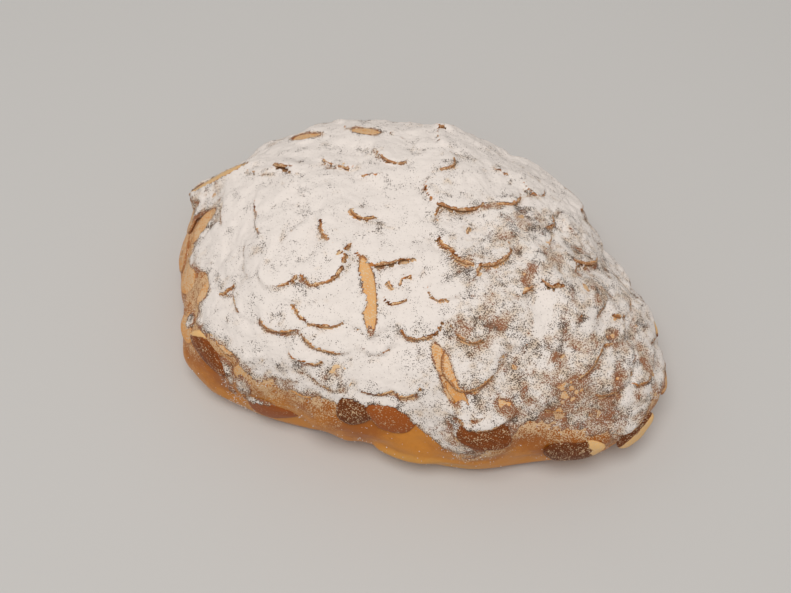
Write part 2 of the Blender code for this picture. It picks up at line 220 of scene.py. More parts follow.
# Where the blanket is open at a flake's bare rim.
RIM_STEP = 0.42  # a drop larger than this between neighbouring points is one
RIM_STEP_RANGE = 0.5  # and this much larger at a rim that is least exposed
RIM_TAPER = (0.0, 0.45, 0.8)  # shares of the sugar's thickness at a bare rim and one and two cells from it
EXPOSURE_SIZE = 3.8
EXPOSURE_SEED = 71
EDGE_STEP = (0.22, 0.6)  # drops over which an edge comes to show
EDGE_RISE = 0.1  # edges that face uphill more than this hold their sugar

# How much sugar is missing, and how thick it lies.
LEAN_LOSS = 0.6  # share of the sugar that a steep place loses
LEAN_RANGE = (0.2, 0.75)
HOLLOW_LOSS_AND_SHADE = 0.45  # share that is missing in the hollow by a flake's edge; the dark specks this brings also paint the shade in the hollow
HOLLOW_DEPTH = 0.4
EDGE_LOSS = 0.75  # and on the edge itself
AMOUNT_UNEVEN = ((7.0, 0.14, 78), (2.8, 0.3, 79), (1.1, 0.2, 72))
UNEVEN_FROM = 0.3  # less cover than this has less unevenness too
BARE_BELOW = (0.02, 0.16)  # sugar sinks out of sight between these amounts
SUGAR_THICKNESS = 0.55
THIN_SHARE = 0.3  # share of it that a thin coat has
FULL_SHARE = 0.5  # and what a full coat adds
SUGAR_CLUMPS = ((4.5, 0.4, 74), (2.1, 0.45, 75), (1.0, 0.28, 76))
SUGAR_RELIEF = 0.035
RELIEF_SEED = 77
SUGAR_HIDDEN = -0.3  # where sugar is missing the blanket passes this far below the surface
SHOWN_ABOVE = 0.6  # a quad shows if a corner lies above this share of that
FEWEST_NEIGHBOURS = 3  # quads with fewer are dropped

# Lower edge of the sugar: (bearing in degrees, height, how far below it loose sugar reaches).
SUGAR_EDGE = (
    (30, 15, 10), (90, 14, 9), (150, 15, 20), (186, 24, 30), (219, 28, 22), (227, 30, 17), (237, 26, 17),
    (253, 26, 18), (264, 28, 16), (276, 29, 10), (285, 27, 5), (291, 21.5, 4), (300, 15.6, 5),
    (305, 15, 8), (312, 24, 17), (318, 26.5, 18), (328, 22.5, 15), (336, 19, 12), (339, 13, 12),
    (343, 13, 12), (348, 21, 14),
)
EDGE_FADE = 2.4  # the cover fades over this much above and below the edge
EDGE_WANDER = ((9.0, 1.8, 51), (3.0, 1.1, 52))
DUST_FULL = 2.0  # the dust is densest from this far above the edge
DUST_UNEVEN = ((6.0, 2.5, 53), (2.0, 1.5, 54))
DUST_IN_PATCHES = 0.15  # share of the dust that is missing where a patch is bare
PATCH_FADE = (0.6, 1.25)  # shares of its reach over which a patch fades out
# Patches: (x, y, half length, half width, turn in degrees, share of the sugar lost).
# The last is below 0 where there is more sugar.
SUGAR_PATCHES = (
    (18, -33, 8.5, 2, -46, 1), (-53, -27, 5.5, 3.2, -50, 1),
    (-62, -9, 5.5, 3.5, 82, 1), (48, -30, 17, 8, 32, 0.24),
    (-64, -6, 22, 6, 80, 0.3), (-57, -28, 9, 6, -50, 0.3),
    # The patch at (38, -10) thins the sugar over the right half, and its extra specks also paint the shade of
    # that side.
    (38, -10, 34, 34, -20, 0.4), (-8.5, -41.5, 5, 3.2, 8, 0.42),
    (-26.5, 28.5, 5.5, 2.2, 4, 0.96), (-43, 24, 5.5, 2.2, 12, 0.96),
    (59, -19, 6, 2, 95, 0.3), (64, -7.5, 4.5, 2, -65, 0.35),
    (68, -11, 4, 1.5, -60, 0.3), (34, -34, 3, 2, 0, 0.35),
    (29.5, -3, 3.6, 1.5, 90, 0.35), (53.5, -7.5, 2.6, 1.6, 60, 0.35),
    (46.2, -24.5, 5, 1.1, 55, 0.12), (-58, -6, 6, 2.5, 90, 0.45),
    (36, -10.5, 5.5, 2.4, -83, -0.6), (9.5, -18.5, 8, 6, 30, -0.35),
    (-44, -8, 9, 8, 0, -0.25), (15, 14, 4, 1.6, 30, 0.4),
    (-38, -45.5, 2.6, 1.4, -30, -0.8), (-32.5, -47.5, 2.6, 1.3, -30, -0.8),
    (-30, -49.5, 2.4, 1.2, -20, -0.6), (-5, -45.5, 2.6, 1.2, -20, -0.7),
    (-53, -35, 2.2, 1.3, -60, -0.8),
)

GRAIN_COUNT = 5200
GRAIN_SIZES = (0.08, 0.22)
GRAIN_SEED = 90
GRAIN_SPREAD = 0.3  # how far off its point of the crust a grain may lie, along each axis
GRAINS_ABOVE = 1.5  # height of the lowest points with grains
GRAINS_START = (0.0, 0.25)  # cover over which grains set in
GRAINS_END = (0.5, 0.9)  # and over which they run out
STRAY_SHARE = 0.05  # their chance elsewhere on the crust, from these heights up
STRAY_HEIGHTS = (3, 12)


def waves(points, wavelength, seed):
    """Smooth lumps of about unit height at each point, as a sum of sine waves in seeded directions."""
    draw = np.random.default_rng(seed)
    directions = draw.normal(size=(WAVE_COUNT, 3))
    directions /= np.linalg.norm(directions, axis=1)[:, None]
    phases = draw.uniform(0, 2 * np.pi, WAVE_COUNT)
    turns = points @ directions.T * (2 * np.pi / wavelength) + phases
    return np.sin(turns).sum(-1) / math.sqrt(WAVE_COUNT / 2)


def ramp(start, end, values):
    """0 up to start, 1 from end, and smooth between."""
    share = np.clip((values - start) / (end - start), 0, 1)
    return share * share * (3 - 2 * share)


def waist_radius(bearing):
    """The plan radius of the loaf's widest line, smooth through WAIST_RADII."""
    count = len(WAIST_RADII)
    terms = np.fft.rfft(WAIST_RADII) / count
    radius = np.full_like(bearing, terms[0].real)
    for order, term in enumerate(terms[1:], 1):
        weight = 1 if order == count / 2 else 2
        turn = order * bearing
        radius = radius + weight * (term.real * np.cos(turn) - term.imag * np.sin(turn))
    return radius


def crown_height(x):
    """Height of the crown's ridge, which drops towards both ends."""
    narrow_end = NARROW_END_DROP * ramp(*NARROW_END_SPAN, x)
    broad_end = BROAD_END_DROP * ramp(*BROAD_END_SPAN, -x)
    return HEIGHT - narrow_end - broad_end


def fold_distance(x, y):
    """Plan distance from each point to FOLD_LINE."""
    nearest = np.full_like(x, np.inf)
    for (ax, ay), (bx, by) in zip(FOLD_LINE, FOLD_LINE[1:]):
        dx, dy = bx - ax, by - ay
        share = np.clip(((x - ax) * dx + (y - ay) * dy) / (dx * dx + dy * dy), 0, 1)
        nearest = np.minimum(nearest, np.hypot(x - ax - share * dx, y - ay - share * dy))
    return nearest


def lip_bulge(bearing, height, foot_share):
    """How far the lower layer's lip stands out of the side."""
    degrees = np.degrees(bearing)
    past_crease = ramp(LIP_START - CREASE_WIDTH / 2, LIP_START + CREASE_WIDTH / 2, degrees)
    before_end = ramp(-LIP_END, -LIP_FULL, -degrees)
    below_top = 1 - ramp(LIP_HEIGHT, LIP_HEIGHT + LIP_ROUNDING, height)
    return LIP_BULGE * past_crease * before_end * below_top * ramp(*LIP_UNDERSIDE, foot_share)


def smooth_loaf(directions):
    """The loaf without lumps or fold, in millimetres, in each of these unit directions."""
    bearing = np.arctan2(directions[:, 1], directions[:, 0])
    sine = np.clip(directions[:, 2], -1, 1)
    latitude = np.arcsin(sine)
    waist = waist_radius(bearing)
    foot = waist - FOOT_INSET

    # Above the waist a full-shouldered dome, below it a quarter round down to the flat base.
    power = 2 / CROWN_SQUARENESS
    down = np.clip(latitude / FOOT_LATITUDE, 0, 1)
    dome = waist * np.cos(latitude) ** power
    side = waist - FOOT_INSET * (1 - np.sqrt(1 - down**2))
    base = foot * (latitude + np.pi / 2) / (FOOT_LATITUDE + np.pi / 2)
    radius = np.where(latitude > FOOT_LATITUDE, side, base)
    radius = np.where(latitude >= 0, dome, radius)

    low_height = WAIST_HEIGHT * (1 - down)
    lip = lip_bulge(bearing, low_height, radius / waist)
    radius = radius + np.where(latitude < 0, lip, 0)
    x, y = radius * np.cos(bearing), radius * np.sin(bearing)
    dome_height = WAIST_HEIGHT + (crown_height(x) - WAIST_HEIGHT) * np.abs(sine) ** power
    return np.stack([x, y, np.where(latitude >= 0, dome_height, low_height)], axis=1)


def loaf_surface(directions):
    """The loaf's surface, in millimetres, in each of these unit directions."""
    points = smooth_loaf(directions)
    x, y, z = points.T
    lumps = sum(height * waves(points, wavelength, seed) for wavelength, height, seed in DOUGH_WAVES)
    valley = FOLD_DEPTH * np.exp(-((fold_distance(x, y) / FOLD_WIDTH) ** 2))
    pushed = directions * [1, 1, LUMP_RISE] * (lumps * ramp(0, LUMPS_FULL, z))[:, None]
    pressed = [0, 0, 1] * (valley * ramp(WAIST_HEIGHT, FOLD_FULL, z))[:, None]
    return points + pushed - pressed


def shape_loaf(mesh):
    """Puts each vertex of a bmesh sphere on the loaf. Returns the points and their normals."""
    points = loaf_surface(np.array([v.co.normalized() for v in mesh.verts]))
    for vertex, point in zip(mesh.verts, points):
        vertex.co = point
    mesh.normal_update()
    return points, np.array([v.normal for v in mesh.verts])


class Coat:
    """The loaf's skin while almonds are laid on it: where it is, and how high they have built up."""

    def __init__(self):
        mesh = bmesh.new()
        bmesh.ops.create_icosphere(mesh, subdivisions=COAT_DETAIL, radius=1)
        self.points, self.normals = shape_loaf(mesh)
        self.built_up = np.zeros(len(self.points))
        mesh.free()

    def on_top(self, x, y):
        """Index of the point of the upper skin nearest to this place in the plan view."""
        distance = np.hypot(self.points[:, 0] - x, self.points[:, 1] - y)
        return int(np.argmin(distance + FAR_BELOW * (self.points[:, 2] < WAIST_HEIGHT)))

    def on_side(self, x, y, z):
        """Index of the point of the skin nearest to this place."""
        return int(np.argmin(np.linalg.norm(self.points - (x, y, z), axis=1)))

    def lay(self, index, turn, length, width, lean):
        """The matrix of a flake that rests on what is already here, about this point of the skin."""
        centre, normal = self.points[index], Vector(self.normals[index])
        heading = Vector((math.cos(math.radians(turn)), math.sin(math.radians(turn)), 0))
        along = (heading - normal * heading.dot(normal)).normalized()
        across = normal.cross(along)
        axes = np.array([along, across, normal])
        local = (self.points - centre) @ axes.T
        near = np.abs(local[:, 2]) < STACK_REACH
        broad = max(width, SUPPORT_WIDTH)
        under = near & (np.hypot(local[:, 0] / length * 2, local[:, 1] / broad * 2) < FOOTPRINT)
        heights = local[under, 2] + self.built_up[under]

        # The plane that lies best on those points, then the flake's own lean about its length.
        terms = np.column_stack([np.ones(under.sum()), local[under, :2]])
        level, *slopes = np.linalg.lstsq(terms, heights, rcond=None)[0]
        slope_along, slope_across = np.clip(slopes, -STEEPEST_REST, STEEPEST_REST)
        middle = level + (0.5 - FLAKE_SUNK) * SOLID_FLAKE_THICKNESS
        turned = Matrix((along, across, normal)).transposed().to_4x4()
        pitch = Matrix.Rotation(-math.atan(slope_along), 4, "Y")
        roll = Matrix.Rotation(math.atan(slope_across) + math.radians(lean), 4, "X")
        place = Matrix.Translation(Vector(centre) + normal * middle) @ turned @ pitch @ roll

        # The skin under the flake is now as high as the flake's top face.
        covered = near & (np.hypot(local[:, 0] / length * 2, local[:, 1] / width * 2) < COVERING)
        top = place @ Vector((0, 0, SOLID_FLAKE_THICKNESS / 2))
        facing = (place.to_3x3() @ Vector((0, 0, 1))).normalized()
        reach = (np.array(top) - self.points[covered]) @ np.array(facing)
        self.built_up[covered] = np.maximum(self.built_up[covered], np.clip(reach, 0, STACK_REACH))
        return place


def scatter(coat, taken):
    """Places, front ones first, for the flakes with no set place: skin points that face up, spaced apart."""
    draw = np.random.default_rng(SCATTER_SEED)
    chosen = []
    centres = [coat.points[i] for i in taken]
    for index in draw.permutation(len(coat.points)):
        point = coat.points[index]
        behind_front = point[1] > BARE_FRONT[0] + BARE_FRONT[1] * point[0]
        coated = behind_front and coat.normals[index, 2] > BARE_SLOPE
        if coated and np.linalg.norm(np.array(centres) - point, axis=1).min() > SCATTER_SPACING:
            chosen.append(int(index))
            centres.append(point)
        if len(chosen) == SCATTER_COUNT:
            break
    shapes = []
    for index in chosen:
        length = draw.uniform(*SCATTER_LENGTHS)
        width = length * draw.uniform(*SCATTER_ASPECTS)
        shapes.append((index, draw.uniform(0, 360), length, width, draw.uniform(*SCATTER_LEANS)))
    return sorted(shapes, key=lambda shape: coat.points[shape[0], 1])


def place_flakes():
    """Every flake as (matrix, length, width, kind), in the order in which they are laid."""
    coat = Coat()
    rows = [(*row, "flake") for row in SIDE_FLAKES] + [(*row, "skin") for row in SKIN_FLAKES]
    placed = [(coat.on_side(x, y, z), *shape) for x, y, z, *shape in rows]
    rows = [(*row, "sliver") for row in SLIVERS] + [(*row, "flake") for row in TOP_FLAKES]
    placed += [(coat.on_top(x, y), *shape) for x, y, *shape in rows]
    scattered = scatter(coat, [index for index, *_ in placed])
    laid = []
    for index, turn, length, width, lean, kind in [(*row, "scattered") for row in scattered] + placed:
        laid.append((coat.lay(index, turn, length, width, lean), length, width, kind))
    return laid


def lattice_noise(points, size, seed):
    """Smooth random values from -1 to 1 whose lumps are about this size."""
    table = np.random.default_rng(seed).uniform(-1, 1, (NOISE_TABLE,) * 3)
    scaled = points / size
    cell = np.floor(scaled).astype(int)
    share = ramp(0, 1, scaled - cell)
    total = np.zeros(len(points))
    for corner in itertools.product((0, 1), repeat=3):
        weight = np.prod(np.where(corner, share, 1 - share), axis=1)
        total += weight * table[tuple(((cell + corner) % NOISE_TABLE).T)]
    return total


def layered_noise(points, layers):
    """A sum of noise layers, each (size, height, seed)."""
    return sum(height * lattice_noise(points, size, seed) for size, height, seed in layers)


def above_edge(points):
    """How far each point is above the sugar's lower edge, and how far loose sugar reaches below it."""
    x, y, z = points.T
    bearings, heights, reaches = zip(*SUGAR_EDGE)
    bearing = np.degrees(np.arctan2(y, x))
    edge = np.interp(bearing, bearings, heights, period=360)
    reach = np.interp(bearing, bearings, reaches, period=360)
    return z - edge + layered_noise(points, EDGE_WANDER), reach


def patch_loss(points):
    """The share of sugar that the patches take away, below 0 where they add some."""
    total = np.zeros(len(points))
    for centre_x, centre_y, half_length, half_width, turn, loss in SUGAR_PATCHES:
        turned = math.radians(turn)
        dx, dy = points[:, 0] - centre_x, points[:, 1] - centre_y
        along = (dx * math.cos(turned) + dy * math.sin(turned)) / half_length
        across = (dy * math.cos(turned) - dx * math.sin(turned)) / half_width
        total += loss * (1 - ramp(*PATCH_FADE, np.hypot(along, across)))
    return np.clip(total, -1, 1)


def sugar_cover(points):
    """How much icing sugar has fallen here: 0 is bare and 1 is a full coat."""
    height, _ = above_edge(points)
    loss = patch_loss(points)
    return ramp(-EDGE_FADE, EDGE_FADE, height) * (1 - np.maximum(loss, 0)) + np.maximum(-loss, 0)


def sugar_dust(points):
    """How densely loose sugar dusts what the blanket leaves bare, from 0 to 1."""
    height, reach = above_edge(points)
    share = (height + layered_noise(points, DUST_UNEVEN) + reach) / (DUST_FULL + reach)
    return ramp(0, 1, share) * (1 - DUST_IN_PATCHES * patch_loss(points))


def make_piece(name, vertices, faces, material, attributes):
    """A piece that stands for the stollen's solid, from vertices in millimetres."""
    data = bpy.data.meshes.new(name)
    data.from_pydata([tuple(v) for v in np.asarray(vertices) * MM], [], faces)
    for label, values in attributes.items():
        values = np.asarray(values, np.float32)
        kind, field = ("FLOAT", "value") if values.ndim == 1 else ("FLOAT_VECTOR", "vector")
        data.attributes.new(label, kind, "POINT").data.foreach_set(field, values.ravel())
    data.shade_smooth()
    data.materials.append(material)
    piece = bpy.data.objects.new(name, data)
    bpy.context.scene.collection.objects.link(piece)
    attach(piece, "root")
    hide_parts("stollen")


# ---- Materials. Noise and bump sizes are in millimetres, and other numbers are shares ----


def srgb(red, green, blue):
    """A display colour, from 0 to 255, as the linear colour that Blender takes."""
    shares = [c / 255 for c in (red, green, blue)]
    return (*[c / 12.92 if c <= 0.04045 else ((c + 0.055) / 1.055) ** 2.4 for c in shares], 1.0)


class Nodes:
    """A material's node tree, put together by short calls."""

    def __init__(self, name):
        self.material = bpy.data.materials.new(name)
        self.material.use_nodes = True
        self.tree = self.material.node_tree
        self.shader = self.tree.nodes["Principled BSDF"]
        self.place = self.tree.nodes.new("ShaderNodeTexCoord").outputs["Object"]

    def put(self, socket, value):
        if isinstance(value, bpy.types.NodeSocket):
            self.tree.links.new(value, socket)
        else:
            socket.default_value = value

    def add(self, kind, inputs, **settings):
        node = self.tree.nodes.new(kind)
        for name, value in settings.items():
            setattr(node, name, value)
        for name, value in inputs.items():
            self.put(node.inputs[name], value)
        return node

    def attribute(self, name, output="Fac"):
        return self.add("ShaderNodeAttribute", {}, attribute_name=name).outputs[output]

    def noise(self, size, detail=2.0, place=None):
        """Noise about 0.5 whose lumps are about this many millimetres."""
        inputs = {"Vector": place or self.place, "Scale": 1 / (size * MM), "Detail": detail}
        return self.add("ShaderNodeTexNoise", inputs).outputs["Fac"]

    def ramp(self, low, high, value):
        """0 below low, 1 above high, smooth between."""
        inputs = {"Value": value, "From Min": low, "From Max": high}
        return self.add("ShaderNodeMapRange", inputs, interpolation_type="SMOOTHSTEP").outputs["Result"]

    def sum(self, *terms):
        """The sum of weighted sockets, each (weight, socket), and plain numbers."""
        total = None
        for term in terms:
            if isinstance(term, tuple):
                inputs = {0: term[1], 1: term[0], 2: 0.0 if total is None else total}
                total = self.add("ShaderNodeMath", inputs, operation="MULTIPLY_ADD").outputs[0]
            else:
                total = self.add("ShaderNodeMath", {0: total, 1: term}, operation="ADD").outputs[0]
        return total

    def times(self, first, second):
        return self.add("ShaderNodeMath", {0: first, 1: second}, operation="MULTIPLY").outputs[0]

    def mix(self, share, first, second):
        """The colour that goes from first to second as share goes from 0 to 1."""
        node = self.add("ShaderNodeMix", {0: share, 6: first, 7: second}, data_type="RGBA")
        return node.outputs[2]

    def bump(self, height, distance):
        """Fine relief, distance millimetres high."""
        inputs = {"Height": height, "Distance": distance * MM, "Strength": 1.0}
        self.put(self.shader.inputs["Normal"], self.add("ShaderNodeBump", inputs).outputs["Normal"])

    def finish(self, colour, roughness, specular):
        """Sets what the shader needs, and returns the material."""
        self.put(self.shader.inputs["Base Color"], colour)
        self.put(self.shader.inputs["Roughness"], roughness)
        self.put(self.shader.inputs["Specular IOR Level"], specular)
        return self.material


PALE_CRUST = srgb(214, 154, 76)
GOLDEN_CRUST = srgb(212, 138, 52)
BROWN_CRUST = srgb(172, 98, 28)
SUGAR_WHITE = srgb(243, 234, 228)
SUGAR_CREAM = srgb(228, 206, 182)
SUGAR_DUST = srgb(232, 200, 160)
# Dark specks: brown showing through holes in the sugar, and painted shade in the crevices between its grains.
SPECK_HOLE_AND_SHADE = srgb(78, 58, 44)
SPECK_RUSTY = srgb(146, 86, 50)
EDGE_ORANGE = srgb(208, 138, 80)
EDGE_BROWN = srgb(116, 68, 38)
ALMOND_PALE = srgb(238, 192, 130)
ALMOND_TOASTED = srgb(228, 158, 84)
RIM_BROWN = srgb(170, 112, 66)
SKIN_BROWN = srgb(162, 86, 32)
SKIN_DARK = srgb(104, 52, 16)
FLOOR_COLOUR = (0.62, 0.61, 0.6, 1.0)


def dusted(nodes, colour):
    """The colour under a dusting of sugar grains, and where the grains lie."""
    level = nodes.sum((-0.42, nodes.attribute("dust")), (0.4, nodes.noise(2.4)), 0.58)
    dust = nodes.ramp(level, nodes.sum((1.0, level), 0.05), nodes.noise(0.36, detail=1.0))
    return nodes.mix(nodes.times(dust, 0.8), colour, SUGAR_DUST), dust


def crust_material():
    nodes = Nodes("baked_crust")
    blotches = nodes.sum((0.35, nodes.noise(2.4)), (0.25, nodes.noise(0.7)), -0.3)
    baked = nodes.sum((1.0, nodes.attribute("bake")), (1.0, blotches))
    colour = nodes.mix(nodes.ramp(0.0, 0.5, baked), PALE_CRUST, GOLDEN_CRUST)
    colour = nodes.mix(nodes.ramp(0.5, 1.0, baked), colour, BROWN_CRUST)
    colour, dust = dusted(nodes, colour)
    nodes.bump(nodes.sum((0.7, nodes.noise(1.6)), (0.3, nodes.noise(0.5)), (0.6, dust)), 0.1)
    roughness = nodes.sum((0.35, nodes.noise(3.0)), (0.4, dust), 0.24)
    return nodes.finish(colour, roughness=roughness, specular=0.3)


def almond_material():
    nodes = Nodes("flaked_almond")
    streaks = nodes.noise(1.1, place=nodes.attribute("grain", "Vector"))
    toast = nodes.sum((1.0, nodes.attribute("toast")), (0.5, streaks), -0.25)
    colour = nodes.mix(nodes.ramp(0.0, 1.0, toast), ALMOND_PALE, ALMOND_TOASTED)
    rim = nodes.sum((1.0, nodes.attribute("rim")), (0.5, nodes.noise(1.5)), -0.25)
    colour = nodes.mix(nodes.ramp(0.45, 0.85, rim), colour, RIM_BROWN)
    colour, dust = dusted(nodes, colour)
    nodes.bump(nodes.sum((0.6, streaks), (0.6, dust)), 0.08)
    return nodes.finish(colour, roughness=0.55, specular=0.35)


def skin_material():
    nodes = Nodes("almond_skin")
    wrinkles = nodes.noise(1.0, detail=3.0, place=nodes.attribute("grain", "Vector"))
    shade = nodes.sum((0.8, nodes.attribute("toast")), (0.7, wrinkles), -0.35)
    colour = nodes.mix(nodes.ramp(0.1, 0.9, shade), SKIN_BROWN, SKIN_DARK)
    flesh = nodes.sum((1.0, nodes.attribute("rim")), (0.6, nodes.noise(1.2)), -0.3)
    colour = nodes.mix(nodes.ramp(0.4, 0.65, flesh), colour, ALMOND_PALE)
    colour, dust = dusted(nodes, colour)
    nodes.bump(nodes.sum((0.6, wrinkles), (0.6, dust)), 0.1)
    return nodes.finish(colour, roughness=0.45, specular=0.2)


def sugar_material():
    nodes = Nodes("icing_sugar")
    amount = nodes.attribute("cover")
    depth = nodes.sum((0.8, amount), (0.6, nodes.noise(2.2)), -0.3)
    colour = nodes.mix(nodes.ramp(0.1, 0.7, depth), SUGAR_CREAM, SUGAR_WHITE)
    # Specks: brown showing through thin sugar, and painted shade in the crevices between grains. They are
    # denser where there is less sugar.
    fine = nodes.noise(0.28, detail=1.0)
    clusters = nodes.ramp(0.46, 0.74, nodes.noise(3.6, detail=3.0))
    threshold = nodes.sum((0.34, amount), (-0.15, clusters), 0.375)
    specks = nodes.ramp(threshold, nodes.sum((1.0, threshold), 0.05), fine)
    rust = nodes.sum((-1.0, amount), (1.4, nodes.noise(3.2)), -0.05)
    speck_colour = nodes.mix(nodes.ramp(0.0, 0.4, rust), SPECK_HOLE_AND_SHADE, SPECK_RUSTY)
    colour = nodes.mix(nodes.times(specks, 0.9), colour, speck_colour)
    edge = nodes.sum((1.0, nodes.attribute("edge")), (1.3, nodes.noise(1.1, detail=3.0)), -0.68)
    edge_colour = nodes.mix(nodes.ramp(0.38, 0.58, nodes.noise(1.6)), EDGE_ORANGE, EDGE_BROWN)
    colour = nodes.mix(nodes.ramp(0.3, 0.6, edge), colour, edge_colour)
    crumbs = nodes.sum((0.6, nodes.noise(0.45, detail=1.0)), (0.8, nodes.noise(1.0, detail=1.0)))
    relief = nodes.times(crumbs, nodes.sum((-0.3, amount), 1.0))
    nodes.bump(nodes.sum((1.0, relief), (-0.4, specks)), 0.26)
    return nodes.finish(colour, roughness=0.95, specular=0.1)


def floor_material():
    nodes = Nodes("pale_floor")
    return nodes.finish(FLOOR_COLOUR, roughness=0.85, specular=0.2)


# ---- Pieces ----


def make_dough():
    """The crust as a fine mesh. Returns its vertices, in millimetres."""
    mesh = bmesh.new()
    bmesh.ops.create_icosphere(mesh, subdivisions=DOUGH_DETAIL, radius=1)
    low, high = (math.sin(latitude) for latitude in SIDE_BAND)
    band = [e for e in mesh.edges if all(low < v.co.z < high for v in e.verts)]
    bmesh.ops.subdivide_edges(mesh, edges=band, cuts=1, use_grid_fill=True)
    bmesh.ops.triangulate(mesh, faces=mesh.faces)
    points, normals = shape_loaf(mesh)
    faces = [[v.index for v in face.verts] for face in mesh.faces]
    mesh.free()
    relief = layered_noise(points, CRUST_RELIEF) * ramp(0, RELIEF_FULL, points[:, 2])
    points = points + normals * relief[:, None]
    attributes = {"bake": crust_bake(points), "dust": sugar_dust(points)}
    make_piece("dough", points, faces, crust_material(), attributes)
    return points


def crust_bake(points):
    """How brown the crust is: 0 is pale gold and 1 is brown."""
    x, y, z = points.T
    bearing = np.degrees(np.arctan2(y, x))
    past_crease = ramp(LIP_START - LIP_FADE_BEARING, LIP_START + LIP_FADE_BEARING, bearing)
    lip = past_crease * ramp(-LIP_END, -LIP_FULL, -bearing)
    lip = lip * (1 - ramp(LIP_HEIGHT, LIP_HEIGHT + LIP_FADE_HEIGHT, z))
    side = BAKE_SIDE + BAKE_SHOULDER * ramp(*SHOULDER_HEIGHTS, z) + BAKE_FOOT * (1 - ramp(*FOOT_HEIGHTS, z))
    narrow_end = BAKE_NARROW_END * ramp(*BAKED_END_SPAN, x) * ramp(*BAKED_END_HEIGHTS, z)
    return side + layered_noise(points, BAKE_UNEVEN) + narrow_end - LIP_PALENESS * lip


def flake_faces(count):
    """Faces of so many flakes: for each a fan about each middle point, and rings of quads between."""
    rings = [1 + ring * FINE_SIDES for ring in range(len(FLAKE_RINGS))]
    last = 1 + len(FLAKE_RINGS) * FINE_SIDES
    pattern = []
    for side in range(FINE_SIDES):
        after = (side + 1) % FINE_SIDES
        pattern.append((0, rings[0] + side, rings[0] + after))
        for inner, outer in zip(rings, rings[1:]):
            pattern.append((inner + side, outer + side, outer + after, inner + after))
        pattern.append((last, rings[-1] + after, rings[-1] + side))
    return [[v + k * (last + 1) for v in face] for k in range(count) for face in pattern]


def flake_points(length, width, kind, draw):
    """Vertices of one flake before it is placed, in the order that flake_faces takes."""
    angles = np.arange(FINE_SIDES) * 2 * np.pi / FINE_SIDES
    taper = FLAKE_FULLNESS * (1 - FLAKE_TAPER * (1 + np.cos(angles)))
    outline = np.column_stack([np.cos(angles) * length / 2, np.sin(angles) * width / 2 * taper])
    for order, share in FLAKE_HARMONICS:
        outline = outline * (1 + share * np.sin(order * angles + draw.uniform(0, 2 * np.pi)))[:, None]
    side = draw.uniform(0, 2 * np.pi)
    reach = draw.uniform(*BROKEN_REACH) * np.hypot(length * math.cos(side), width * math.sin(side)) / 2
    if draw.uniform() < BROKEN_SHARE and kind != "sliver":
        across_break = np.array([math.cos(side), math.sin(side)])
        outline = outline - np.maximum(outline @ across_break - reach, 0)[:, None] * across_break
    dome = SKIN_DOME if kind == "skin" else 0
    rows = [(0, 0, FINE_THICKNESS / 2 + dome)]
    for share, level, _ in FLAKE_RINGS:
        rise = level * FINE_THICKNESS / 2 + dome * (1 - share**2) * (level > 0)
        rows += [(x * share, y * share, rise) for x, y in outline]
    rows.append((0, 0, -FINE_THICKNESS / 2))
    points = np.array(rows)
    along, across = points[:, 0] / length * 2, points[:, 1] / width * 2
    points[:, 2] += draw.uniform(*FLAKE_BENDS) * along**2 + draw.uniform(*FLAKE_CUPS) * across**2
    points[:, 2] += draw.uniform(*FLAKE_TWISTS) * along * across
    points[:, 2] -= (SOLID_FLAKE_THICKNESS - FINE_THICKNESS) / 2
    return points


def ring_rims():
    """How near each vertex of a flake lies to its rim, from 0 to 1."""
    rims = [rim for _, _, rim in FLAKE_RINGS]
    return np.concatenate([[0], np.repeat(rims, FINE_SIDES), [0]])


def dress_flake(number, place, length, width, kind, look):
    """A flake's points, what shows on them, the share of sugar they hold, and how much lies on its ledge."""
    draw = np.random.default_rng(SHAPE_SEED + number)
    local = flake_points(length, width, kind, draw)
    along, across = local[:, 0] / length * 2, local[:, 1] / width * 2
    if kind == "sliver":
        sliver_toast, lifts = look
        local[:, 2] += np.interp(along, (-1, 1), lifts)
    matrix = np.array(place)
    world = local @ matrix[:3, :3].T + matrix[:3, 3]

    rim = ring_rims()
    toast = draw.uniform(0, 1) + BARE_TOAST * (1 - sugar_cover(world))
    dust = sugar_dust(world) * (1 - RIM_CLEAN * rim)
    holds = np.full(len(world), HOLDS[kind])
    ledge = np.zeros(len(world))
    if kind == "sliver":
        toast = np.full(len(world), sliver_toast)
        dust = dust * SLIVER_DUST
        holds = np.maximum(holds, ramp(*SLIVER_BURIED, along))
    if kind == "skin":
        degrees, start, *shades = look
        toast, dust = (np.full(len(world), shade) for shade in shades)
        side = math.radians(degrees)
        rim = ramp(start, start + FLESH_SOFTNESS, along * math.cos(side) + across * math.sin(side))
        ledge = rim * LEDGE_COVER * (math.sin(side) > LEDGE_SIDE)
    grain = (local * GRAIN_STRETCH + (0, 0, GRAIN_APART * number)) * MM
    shown = {"rim": rim, "toast": toast, "grain": grain, "dust": dust}
    return {"points": world, "shown": shown, "holds": np.maximum(holds, ledge), "ledge": ledge}


def make_slices(name, flakes, material):
    """One piece of all these flakes."""
    points = np.concatenate([flake["points"] for flake in flakes])
    labels = flakes[0]["shown"]
    shown = {label: np.concatenate([flake["shown"][label] for flake in flakes]) for label in labels}
    make_piece(name, points, flake_faces(len(flakes)), material, shown)


